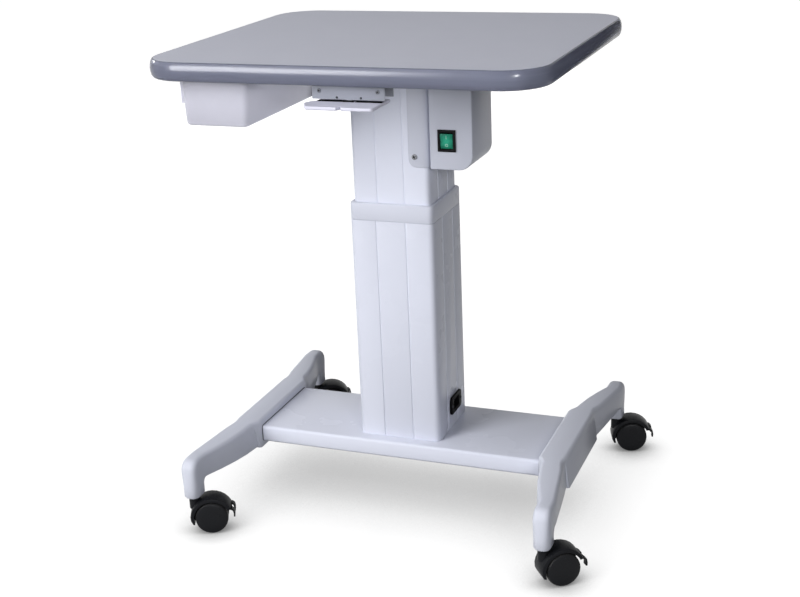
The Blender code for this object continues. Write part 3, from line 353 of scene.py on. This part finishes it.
def weld_group():
    group = bpy.data.node_groups.new("weld", "GeometryNodeTree")
    group.interface.new_socket("Geometry", in_out="INPUT", socket_type="NodeSocketGeometry")
    group.interface.new_socket("Geometry", in_out="OUTPUT", socket_type="NodeSocketGeometry")
    start = group.nodes.new("NodeGroupInput")
    end = group.nodes.new("NodeGroupOutput")
    bare = group.nodes.new("GeometryNodeRemoveAttribute")
    bare.inputs["Name"].default_value = "custom_normal"
    merge = group.nodes.new("GeometryNodeMergeByDistance")
    merge.inputs["Distance"].default_value = 0.00002
    group.links.new(start.outputs[0], bare.inputs[0])
    group.links.new(bare.outputs[0], merge.inputs[0])
    group.links.new(merge.outputs[0], end.inputs[0])
    return group


def smooth_group(name, degrees):
    group = bpy.data.node_groups.new(name, "GeometryNodeTree")
    group.interface.new_socket("Geometry", in_out="INPUT", socket_type="NodeSocketGeometry")
    group.interface.new_socket("Geometry", in_out="OUTPUT", socket_type="NodeSocketGeometry")
    start = group.nodes.new("NodeGroupInput")
    end = group.nodes.new("NodeGroupOutput")
    soft = group.nodes.new("GeometryNodeSetShadeSmooth")
    soft.domain = "FACE"
    angle = group.nodes.new("GeometryNodeInputMeshEdgeAngle")
    sharp = group.nodes.new("FunctionNodeCompare")
    sharp.operation = "GREATER_THAN"
    sharp.inputs[1].default_value = math.radians(degrees)
    edge = group.nodes.new("GeometryNodeSetShadeSmooth")
    edge.domain = "EDGE"
    edge.inputs["Shade Smooth"].default_value = False
    group.links.new(start.outputs[0], soft.inputs[0])
    group.links.new(soft.outputs[0], edge.inputs[0])
    group.links.new(angle.outputs["Unsigned Angle"], sharp.inputs[0])
    group.links.new(sharp.outputs[0], edge.inputs["Selection"])
    group.links.new(edge.outputs[0], end.inputs[0])
    return group


WELD = weld_group()
SMOOTH = {d: smooth_group("smooth_%d" % d, d) for d in (28, 40)}


FLAT_ANGLE = math.radians(0.6)
BEVEL_ANGLE = math.radians(32.0)


def soften(obj, width=0.0, smooth=28):
    """Weld, round off the edges by `width`, then smooth across what is left under `smooth` degrees."""
    weld = obj.modifiers.new("weld", "NODES")
    weld.node_group = WELD
    if width:
        flat = obj.modifiers.new("flatten", "DECIMATE")
        flat.decimate_type = "DISSOLVE"
        flat.angle_limit = FLAT_ANGLE
        bevel = obj.modifiers.new("bevel", "BEVEL")
        bevel.width = width
        bevel.segments = 2
        bevel.limit_method = "ANGLE"
        bevel.angle_limit = BEVEL_ANGLE
        bevel.harden_normals = False
    last = obj.modifiers.new("smooth", "NODES")
    last.node_group = SMOOTH[smooth]


# Edge rounding, in metres
EDGE = {
    "outer_column": 0.0005, "inner_column": 0.0005, "column_collar": 0.0006, "base_beam": 0.0022,
    "control_box": 0.0009, "paddle_bracket": 0.0007, "top_mount_plate": 0.0004,
    "drawer_rail_left": 0.0005, "drawer_rail_right": 0.0005,
    "power_switch_bezel": 0.0007, "power_switch_rocker": 0.0006, "mains_inlet": 0.0006,
}
for n, obj in NODES.items():
    obj.data.materials.clear()
    obj.data.materials.append(MAT[FINISH[n]])
    soften(obj, EDGE.get(n, 0.0), smooth=40 if ("hood" in n or "leg" in n or "brake" in n) else 28)


# Small fittings: each is a piece of its own and rides on the body that it is fixed to

def lay(mesh, name, finish, body, at=(0.0, 0.0, 0.0), axis=(0.0, 0.0, 1.0), turn=0.0):
    """Stand `mesh` on `at`, its own +Z along `axis`, and give it a finish and a body."""
    mesh.materials.clear()
    mesh.materials.append(MAT[finish])
    obj = bpy.data.objects.new(name, mesh)
    SCENE.collection.objects.link(obj)
    lean = Vector((0.0, 0.0, 1.0)).rotation_difference(Vector(axis)).to_matrix().to_4x4()
    spin = Matrix.Rotation(math.radians(turn), 4, "Z")
    obj.matrix_world = Matrix.Translation(Vector(at)) @ lean @ spin
    last = obj.modifiers.new("smooth", "NODES")
    last.node_group = SMOOTH[28]
    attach(obj, body)
    return obj


def rings_mesh(name, rings, caps=True, closed=False):
    """Skin over rings of equal point counts."""
    verts = [p for ring in rings for p in ring]
    count = len(rings[0])
    faces = []
    spans = len(rings) if closed else len(rings) - 1
    for i in range(spans):
        a, b = i * count, (i + 1) % len(rings) * count
        faces += [(a + j, a + (j + 1) % count, b + (j + 1) % count, b + j) for j in range(count)]
    if caps and not closed:
        faces += [tuple(range(count))[::-1], tuple(range((len(rings) - 1) * count, len(rings) * count))]
    mesh = bpy.data.meshes.new(name)
    mesh.from_pydata(verts, [], faces)
    mesh.validate()
    bm = bmesh.new()
    bm.from_mesh(mesh)
    bmesh.ops.recalc_face_normals(bm, faces=bm.faces)
    bm.to_mesh(mesh)
    bm.free()
    return mesh


def round_ring(r, z, steps=28):
    """Circle of radius r at height z."""
    turns = [math.tau * i / steps for i in range(steps)]
    return [(r * math.cos(a), r * math.sin(a), z) for a in turns]


def outline(hx, hy, r, cx=0.0, cy=0.0, steps=4):
    """Rounded rectangle, counter-clockwise."""
    pts = []
    for qx, qy, start in ((1, -1, -90), (1, 1, 0), (-1, 1, 90), (-1, -1, 180)):
        for i in range(steps + 1):
            a = math.radians(start + 90.0 * i / steps)
            pts.append((cx + qx * (hx - r) + r * math.cos(a), cy + qy * (hy - r) + r * math.sin(a)))
    return pts


def cross_screw(name, r):
    """Pan-head screw with a cross recess cut into its crown, head radius r."""
    bm = bmesh.new()
    steps = 28
    shape = ((1.0, -0.1), (1.0, 0.14), (0.94, 0.31), (0.83, 0.43), (0.70, 0.50))
    rings = [[bm.verts.new(p) for p in round_ring(r * a, r * z, steps)] for a, z in shape]
    for low_ring, top_ring in zip(rings, rings[1:]):
        for j in range(steps):
            k = (j + 1) % steps
            bm.faces.new((low_ring[j], low_ring[k], top_ring[k], top_ring[j]))
    a, b = 0.17 * r, 0.66 * r
    plan = [(b, -a), (b, a), (a, a), (a, b), (-a, b), (-a, a)]
    plan += [(-x, -y) for x, y in plan]
    lip = [bm.verts.new((x, y, 0.50 * r)) for x, y in plan]
    well = [bm.verts.new((0.72 * x, 0.72 * y, 0.10 * r)) for x, y in plan]
    rim = [bm.edges.get((rings[-1][j], rings[-1][(j + 1) % steps])) for j in range(steps)]
    for j in range(12):
        k = (j + 1) % 12
        bm.faces.new((lip[k], lip[j], well[j], well[k]))
        rim.append(bm.edges.get((lip[j], lip[k])))
    bm.faces.new(well)
    bmesh.ops.triangle_fill(bm, edges=rim, use_beauty=True)
    bm.faces.new(rings[0][::-1])
    bmesh.ops.recalc_face_normals(bm, faces=bm.faces)
    mesh = bpy.data.meshes.new(name)
    bm.to_mesh(mesh)
    bm.free()
    return mesh


def hex_bolt(name, r):
    """Hexagon head of radius r on a plain washer."""
    washer = [round_ring(k * r, z * r, 24) for k, z in ((1.35, 0.0), (1.40, 0.06), (1.32, 0.16))]
    hexa = []
    for i in range(24):
        a = math.tau * i / 24
        hexa.append(0.866 * r / math.cos((a + math.pi / 6) % (math.pi / 3) - math.pi / 6))

    def head(z, most):
        out = []
        for i in range(24):
            a = math.tau * i / 24
            d = min(hexa[i], most)
            out.append((d * math.cos(a), d * math.sin(a), z))
        return out

    crown = [head(z * r, k * r) for z, k in ((0.16, 1.0), (0.62, 1.0), (0.74, 0.90), (0.76, 0.55))]
    return rings_mesh(name, washer + crown)


def slab(name, x0, x1, y0, y1, z0, z1, r, ease):
    """Thin plate with rounded corners and an eased top edge."""
    cx, cy, hx, hy = (x0 + x1) / 2, (y0 + y1) / 2, (x1 - x0) / 2, (y1 - y0) / 2
    rings = []
    for e, z in ((0.0, z0), (0.0, z1 - ease), (ease * 0.3, z1 - ease * 0.3), (ease, z1)):
        rings.append([(x, y, z) for x, y in outline(hx - e, hy - e, r - e * 0.9, cx, cy)])
    return rings_mesh(name, rings)


def skin(node):
    """Ray-cast tree of a CAD node at rest."""
    mesh = NODES[node].data
    faces = [tuple(p.vertices) for p in mesh.polygons]
    return BVHTree.FromPolygons([v.co for v in mesh.vertices], faces)


def flush_mark(name, node, loops, lift):
    """Printed mark on a front face: (x, z) loops laid on the node's skin, `lift` proud of it."""
    tree = skin(node)
    rings = []
    for loop, proud in loops:
        ring = []
        for x, z in loop:
            hit = tree.ray_cast(Vector((x, -5.0, z)), Vector((0.0, 1.0, 0.0)))[0]
            ring.append((x, hit.y - (lift if proud else -lift), z))
        rings.append(ring)
    return rings_mesh(name, rings, caps=False, closed=True)


FRONT = (0.0, -1.0, 0.0)
DOWN = (0.0, 0.0, -1.0)
BOX0, BOX1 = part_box("control_box")
INNER0, INNER1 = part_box("inner_column")
BRK0, BRK1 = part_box("paddle_bracket")
BEAM0, BEAM1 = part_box("base_beam")
INLET0, INLET1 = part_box("mains_inlet")
PLATE0, PLATE1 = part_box("top_mount_plate")

# Switch box: screw on the flange, two on the rear
lay(cross_screw("flange_screw", FLANGE_SCREW_R), "flange_screw", "flange_screw", "lift",
    (BOX0.x + 0.0095, INNER0.y - 0.0023, BOX0.z + 0.0160), FRONT, 28)
for i, z in enumerate((BOX0.z + 0.030, BOX1.z - 0.030)):
    lay(cross_screw("box_screw_%d" % i, 0.0034), "box_screw_%d" % i, "steel", "lift",
        (BOX1.x - 0.034, BOX1.y, z), (0.0, 1.0, 0.0), 15 + 50 * i)

# Paddle bracket: two dark screws, two small rivets, and dark felt on the paddle below it, a dark sheet
# put there as painted shade in the gap under the bracket
mid = (BRK0.x + BRK1.x) / 2
for i, x in enumerate((mid - 0.0415, mid + 0.0420)):
    lay(cross_screw("bracket_screw_%d" % i, BRACKET_SCREW_R), "bracket_screw_%d" % i, "bracket_screw",
        "lift", (x, BRK0.y, BRK1.z - 0.0090), FRONT, 20 + 45 * i)
for i, x in enumerate((mid - 0.0163, mid + 0.0181)):
    shape = ((0.0017, -0.0002), (0.0016, 0.0003), (0.0011, 0.0008), (0.0004, 0.0010))
    dome = [round_ring(r, z, 16) for r, z in shape]
    lay(rings_mesh("bracket_rivet_%d" % i, dome), "bracket_rivet_%d" % i, "black_screw", "lift",
        (x, BRK0.y, BRK0.z + 0.0026), FRONT)

pad_z = BRK0.z - 0.0032
shade_pads = (
    (mid - 0.0465, mid - 0.0085, BRK0.y + 0.0006, BRK0.y + 0.0100, 0.0003),
    (mid - 0.0080, mid + 0.0080, BRK0.y + 0.0002, BRK0.y + 0.0019, 0.0023),
    (mid + 0.0085, mid + 0.0465, BRK0.y + 0.0006, BRK0.y + 0.0100, 0.0003),
)
# Dark pads: painted shade filling the gap under the bracket.
for i, (x0, x1, y0, y1, h) in enumerate(shade_pads):
    pad = slab("paddle_shade_pad_%d" % i, x0, x1, y0, y1, pad_z - 0.0001, pad_z + h, 0.0006, 0.0001)
    lay(pad, "paddle_shade_pad_%d" % i, "shade_felt", "paddle")

# Column bolts under the beam
hub = middle("outer_column")
for i, (dx, dy) in enumerate(((-1, -1), (1, -1), (1, 1), (-1, 1))):
    lay(hex_bolt("column_bolt_%d" % i, 0.0055), "column_bolt_%d" % i, "steel", "base",
        (hub.x + 0.046 * dx, hub.y + 0.046 * dy, BEAM0.z), DOWN, 11 * i)

# Screws through the mount plate into the top
for i, (dx, dy) in enumerate(((-1, -1), (1, -1), (1, 1), (-1, 1))):
    px = (PLATE0.x + PLATE1.x) / 2 + dx * ((PLATE1.x - PLATE0.x) / 2 - 0.010)
    py = (PLATE0.y + PLATE1.y) / 2 + dy * ((PLATE1.y - PLATE0.y) / 2 - 0.0075)
    lay(cross_screw("plate_screw_%d" % i, 0.0042), "plate_screw_%d" % i, "steel", "lift",
        (px, py, PLATE0.z), DOWN, 23 * i)

# Dark rubber strips where the beam meets the legs: painted shade for the shadowed gap at each joint
for side, x in (("left", BEAM0.x), ("right", BEAM1.x)):
    cy, cz = (BEAM0.y + BEAM1.y) / 2, (BEAM0.z + BEAM1.z) / 2
    hy, hz = (BEAM1.y - BEAM0.y) / 2, (BEAM1.z - BEAM0.z) / 2
    inward = 0.0011 if side == "left" else -0.0006
    hoops = []
    for grow, k in ((0.0005, 0.0), (0.0005, 0.7), (0.0001, 1.0), (-0.0008, 1.0), (-0.0008, 0.0)):
        edge = outline(hy + grow, hz + grow, 0.0050 + grow, cy, cz)
        hoops.append([(x + inward * k, y, z) for y, z in edge])
    lay(rings_mesh("beam_shade_strip_" + side, hoops, closed=True), "beam_shade_strip_" + side, "shade_rubber", "base")

# Mains inlet: three pins in the socket and a screw at each end of the flange
iy, iz = (INLET0.y + INLET1.y) / 2, (INLET0.z + INLET1.z) / 2
for i, (dy, dz) in enumerate(((0.0, 0.0030), (-0.0068, -0.0012), (0.0068, -0.0012))):
    blade = []
    for x, k in ((0.0, 1.0), (0.0070, 1.0), (0.0086, 0.75), (0.0092, 0.40)):
        blade.append([(y, z, x) for y, z in outline(0.0010 * k, 0.0021 * k, 0.0006 * k, 0.0, 0.0, 2)])
    lay(rings_mesh("inlet_pin_%d" % i, blade), "inlet_pin_%d" % i, "steel", "base",
        (INLET0.x + 0.0029, iy + dy, iz + dz), (1.0, 0.0, 0.0), 90)
for i, dy in enumerate((-0.0198, 0.0198)):
    lay(cross_screw("inlet_screw_%d" % i, 0.0023), "inlet_screw_%d" % i, "black_screw", "base",
        (INLET1.x, iy + dy, iz), (1.0, 0.0, 0.0), 33 * i)

# Rocker marks: a bar on the upper half and a ring on the lower one
ROCK0, ROCK1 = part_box("power_switch_rocker")
rx, rz = (ROCK0.x + ROCK1.x) / 2, (ROCK0.z + ROCK1.z) / 2
BAR_HALF, BAR_TALL = 0.00045, 0.0024
RING_OUT, RING_IN = 0.0023, 0.0015
MARK_PROUD = 0.00012
bar_z, ring_z = rz + 0.0060, rz - 0.0058
bar = [(rx + BAR_HALF, bar_z + BAR_TALL * k) for k in (-1.0, -0.5, 0.0, 0.5, 1.0)]
bar += [(2 * rx - x, z) for x, z in bar[::-1]]
core = [(rx + (x - rx) * 0.3, bar_z + (z - bar_z) * 0.9) for x, z in bar]
bar_loops = ((bar, False), (bar, True), (core, True))
lay(flush_mark("rocker_bar", "power_switch_rocker", bar_loops, MARK_PROUD),
    "rocker_bar", "mark", "rocker")

outer = [(rx + x, ring_z + y) for x, y, _ in round_ring(RING_OUT, 0.0, 24)]
inner = [(rx + x, ring_z + y) for x, y, _ in round_ring(RING_IN, 0.0, 24)]
ring_loops = ((outer, False), (outer, True), (inner, True), (inner, False))
lay(flush_mark("rocker_ring", "power_switch_rocker", ring_loops, MARK_PROUD),
    "rocker_ring", "mark", "rocker")


# Studio: white floor that keeps the shadow and adds a painted shadow from ambient occlusion, soft key
# from the front left, weak fills, a low lamp behind

WORLD_FILL = 0.02
FLOOR = 0.18
FLOOR_GLOW = 1.0
FLOOR_HALF = 60.0


def studio():
    """Floor and world: white to the camera and in reflections, plain and weak as light; the floor's
    glow is dimmed by ambient occlusion, a painted shadow round and under the object.
    """
    t = Tree("studio_floor")
    t.nodes.remove(t.bsdf)
    out = t.nodes["Material Output"]
    spread = t.add("ShaderNodeBsdfDiffuse")
    spread.inputs["Color"].default_value = (FLOOR, FLOOR, FLOOR, 1.0)
    near = t.add("ShaderNodeAmbientOcclusion", samples=8)
    near.inputs["Distance"].default_value = 0.06
    wide = t.add("ShaderNodeAmbientOcclusion", samples=8)
    wide.inputs["Distance"].default_value = 0.30
    glow = t.add("ShaderNodeEmission")
    # Painted shadow: the floor's glow is dimmed where ambient occlusion finds the object close by.
    ao_floor_shade = t.math("MULTIPLY", t.span(near.outputs["AO"], 0.30, 0.95, 0.35, 1.0),
                      t.span(wide.outputs["AO"], 0.35, 0.92, 0.47, 1.0))
    t.put(glow.inputs["Strength"], t.math("MULTIPLY", ao_floor_shade, FLOOR_GLOW))
    path = t.add("ShaderNodeLightPath")
    seen = t.math("MAXIMUM", path.outputs["Is Camera Ray"],
                  t.math("MAXIMUM", path.outputs["Is Glossy Ray"], path.outputs["Is Transmission Ray"]))
    both = t.add("ShaderNodeAddShader")
    t.links.new(spread.outputs[0], both.inputs[0])
    t.links.new(glow.outputs[0], both.inputs[1])
    pick = t.add("ShaderNodeMixShader")
    t.put(pick.inputs[0], seen)
    t.links.new(spread.outputs[0], pick.inputs[1])
    t.links.new(both.outputs[0], pick.inputs[2])
    t.links.new(pick.outputs[0], out.inputs["Surface"])
    mesh = bpy.data.meshes.new("floor")
    r = FLOOR_HALF
    mesh.from_pydata([(-r, -r, 0), (r, -r, 0), (r, r, 0), (-r, r, 0)], [], [(0, 1, 2, 3)])
    mesh.materials.append(t.mat)
    floor = bpy.data.objects.new("floor", mesh)
    SCENE.collection.objects.link(floor)

    world = bpy.data.worlds.new("studio")
    world.use_nodes = True
    tree = world.node_tree
    fill = tree.nodes["Background"]
    fill.inputs["Color"].default_value = (0.94, 0.96, 1.0, 1.0)
    fill.inputs["Strength"].default_value = WORLD_FILL
    white = tree.nodes.new("ShaderNodeBackground")
    white.inputs["Color"].default_value = (1.0, 1.0, 1.0, 1.0)
    white.inputs["Strength"].default_value = 1.0
    path = tree.nodes.new("ShaderNodeLightPath")
    a = tree.nodes.new("ShaderNodeMath")
    a.operation = "MAXIMUM"
    b = tree.nodes.new("ShaderNodeMath")
    b.operation = "MAXIMUM"
    pick = tree.nodes.new("ShaderNodeMixShader")
    tree.links.new(path.outputs["Is Camera Ray"], a.inputs[0])
    tree.links.new(path.outputs["Is Glossy Ray"], a.inputs[1])
    tree.links.new(a.outputs[0], b.inputs[0])
    tree.links.new(path.outputs["Is Transmission Ray"], b.inputs[1])
    tree.links.new(b.outputs[0], pick.inputs[0])
    tree.links.new(fill.outputs[0], pick.inputs[1])
    tree.links.new(white.outputs[0], pick.inputs[2])
    tree.links.new(pick.outputs[0], tree.nodes["World Output"].inputs["Surface"])
    SCENE.world = world


def card():
    """Dark card at the right, off the picture: the edge moulding's right side mirrors it."""
    t = Tree("card_cloth")
    weave = t.noise(700.0, 2.0)
    t.set(Base_Color=t.mix(weave, srgb(10, 10, 12), srgb(24, 24, 27)))
    t.set(Roughness=0.95, Specular_IOR_Level=0.0)
    x0, x1, y, z0, z1 = 0.32, 1.2, 0.42, 0.45, 0.85
    mesh = bpy.data.meshes.new("card")
    mesh.from_pydata([(x0, y, z0), (x1, y, z0), (x1, y, z1), (x0, y, z1)], [], [(0, 1, 2, 3)])
    mesh.materials.append(t.mat)
    obj = bpy.data.objects.new("card", mesh)
    obj.location = AXIS
    SCENE.collection.objects.link(obj)
    obj.visible_camera = obj.visible_diffuse = obj.visible_transmission = obj.visible_shadow = False


def lamp(name, place, aim, size, power, colour=(1.0, 1.0, 1.0)):
    """Soft box at `place` that faces `aim`."""
    data = bpy.data.lights.new(name, "AREA")
    data.shape = "RECTANGLE"
    data.size, data.size_y = size
    data.energy = power
    data.color = colour
    obj = bpy.data.objects.new(name, data)
    obj.location = Vector(place)
    obj.rotation_euler = (Vector(aim) - Vector(place)).to_track_quat("-Z", "Y").to_euler()
    SCENE.collection.objects.link(obj)
    return obj


def only(lamp_obj, node):
    """Let a lamp reach one CAD node."""
    group = bpy.data.collections.new(lamp_obj.name + "_reach")
    group.objects.link(NODES[node])
    lamp_obj.light_linking.receiver_collection = group


studio()
card()
lamp("key", (-3.12, -4.64, 2.1), (0.0, 0.0, 0.45), (2.2, 3.1), 200.0, (1.0, 0.995, 0.985))
lamp("key_high", (-1.4, -2.3, 2.8), (0.0, 0.0, 0.4), (1.6, 1.4), 51.0)
lamp("top", (-0.3, 0.4, 3.2), (0.0, 0.0, 0.4), (2.6, 2.6), 2.0)
lamp("left", (-3.2, -0.8, 1.8), (0.0, 0.0, 0.4), (1.6, 1.6), 15.0)
lamp("right", (1.9, -2.7, 1.5), (0.0, 0.0, 0.4), (0.8, 1.0), 35.0, (0.97, 0.98, 1.0))
lamp("right_front", (1.15, -3.2, 1.05), (0.0, 0.0, 0.4), (0.7, 1.0), 12.5)
gloss = lamp("gloss", (-1.72, -3.0, 1.50), (0.0, -0.27, 0.72), (1.75, 1.6), 500.0)
glint = lamp("glint", (2.1, -2.46, 1.61), (0.27, -0.24, 0.72), (0.3, 0.4), 130.0)
tip = lamp("tip", (-2.55, 0.62, 1.25), (-0.264, -0.256, 0.734), (0.25, 0.25), 15.0)
for shine in (gloss, glint, tip):
    shine.visible_diffuse = False
    only(shine, "edge_moulding")
tray_fill = lamp("tray_fill", (1.8, -0.6, 0.42), (-0.18, -0.15, 0.68), (0.5, 0.35), 15.0)
tray_fill.visible_glossy = False
only(tray_fill, "drawer")
back = lamp("back", (-1.5, 3.5, 0.50), (0.0, 0.0, 0.42), (2.2, 0.9), 40.0)
back.visible_glossy = False


# Camera, solved from the photograph's edges: focal length and centre are in pixels of its frame

FRAME_W, FRAME_H = 800.0, 597.0
FOCAL, CENTRE_X, CENTRE_Y = 1402.9, 395.035, 286.163
EYE = Vector((0.74627, -1.93144, 1.04481))


def camera():
    """The photograph's viewpoint, placed from the column's axis."""
    data = bpy.data.cameras.new("camera")
    data.sensor_fit = "HORIZONTAL"
    data.sensor_width = 36.0
    data.lens = FOCAL * data.sensor_width / FRAME_W
    data.shift_x = (FRAME_W / 2 - CENTRE_X) / FRAME_W
    data.shift_y = (CENTRE_Y - FRAME_H / 2) / FRAME_W
    data.clip_end = 200.0
    obj = bpy.data.objects.new("camera", data)
    right = Vector((0.933122, 0.357273, -0.040531))
    up = Vector((-0.078503, 0.312429, 0.946698))
    back = right.cross(up)
    rot = Matrix((right, up, back)).transposed().to_4x4()
    obj.matrix_world = Matrix.Translation(AXIS + EYE) @ rot
    SCENE.collection.objects.link(obj)
    SCENE.camera = obj


camera()
SCENE.view_settings.view_transform = "Standard"
